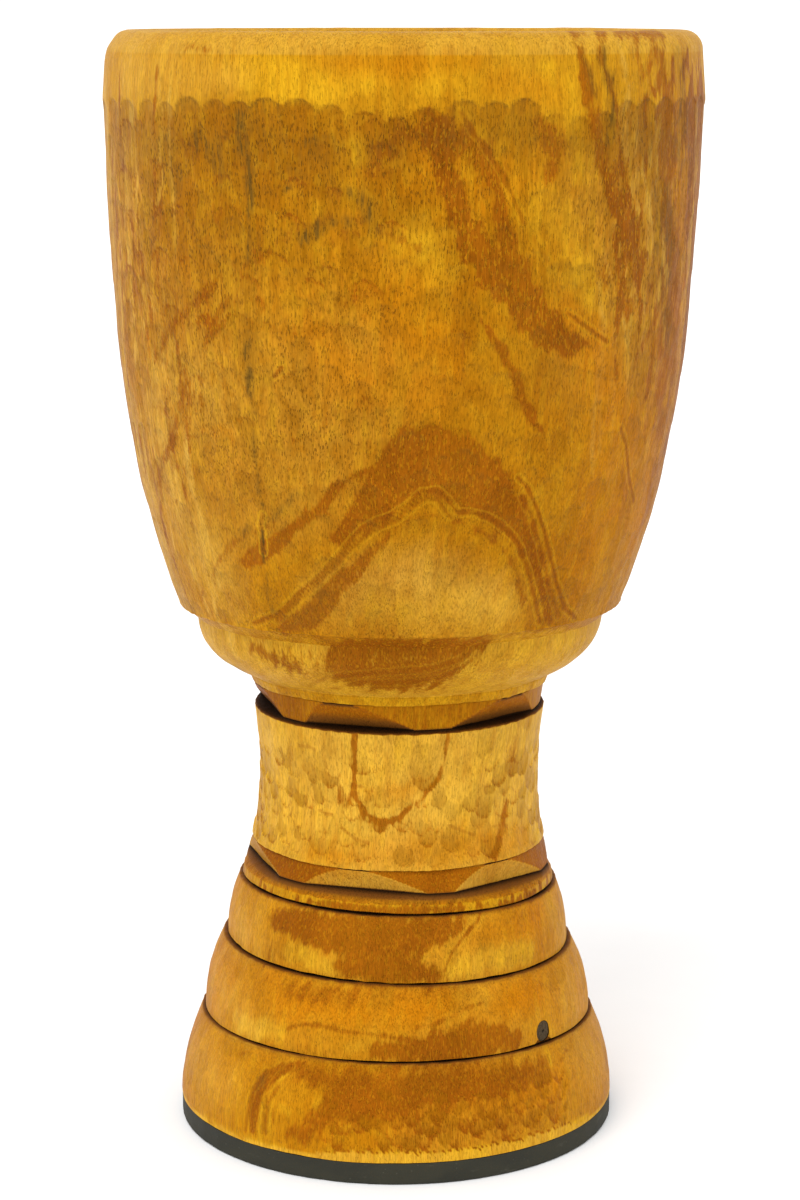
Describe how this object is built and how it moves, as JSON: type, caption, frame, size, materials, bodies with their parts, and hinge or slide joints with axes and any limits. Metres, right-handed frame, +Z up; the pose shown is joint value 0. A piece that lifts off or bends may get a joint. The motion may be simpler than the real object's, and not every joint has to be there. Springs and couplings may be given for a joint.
{
  "type": "goblet drum shell",
  "caption": "Hand-carved one-log goblet drum shell with a rounded rim, faceted collars, a stepped ring foot and a nailed rubber base ring, without its head.",
  "frame": {"origin": "on the floor, under the middle of the drum's bounding box", "axes": "+Z up along the drum's axis from foot to rim; -Y is the front, the side with the dark knot to its right"},
  "size_m": [0.319, 0.319, 0.6],
  "materials": {
    "carved_wood": "oiled golden hardwood, chisel-dimpled, satin",
    "knot": "dark dead knot, matt",
    "rubber": "matt black, cut from sheet",
    "nail_steel": "dull zinc-plated"
  },
  "bodies": {
    "root": {"shell": "carved_wood", "knot_plug": "knot", "foot_pad": "rubber", "foot_nail_01": "nail_steel", "foot_nail_02": "nail_steel", "foot_nail_03": "nail_steel", "foot_nail_04": "nail_steel", "foot_nail_05": "nail_steel", "foot_nail_06": "nail_steel", "foot_nail_07": "nail_steel", "foot_nail_08": "nail_steel", "foot_nail_09": "nail_steel", "foot_nail_10": "nail_steel", "foot_nail_11": "nail_steel", "foot_nail_12": "nail_steel"}
  },
  "joints": []
}
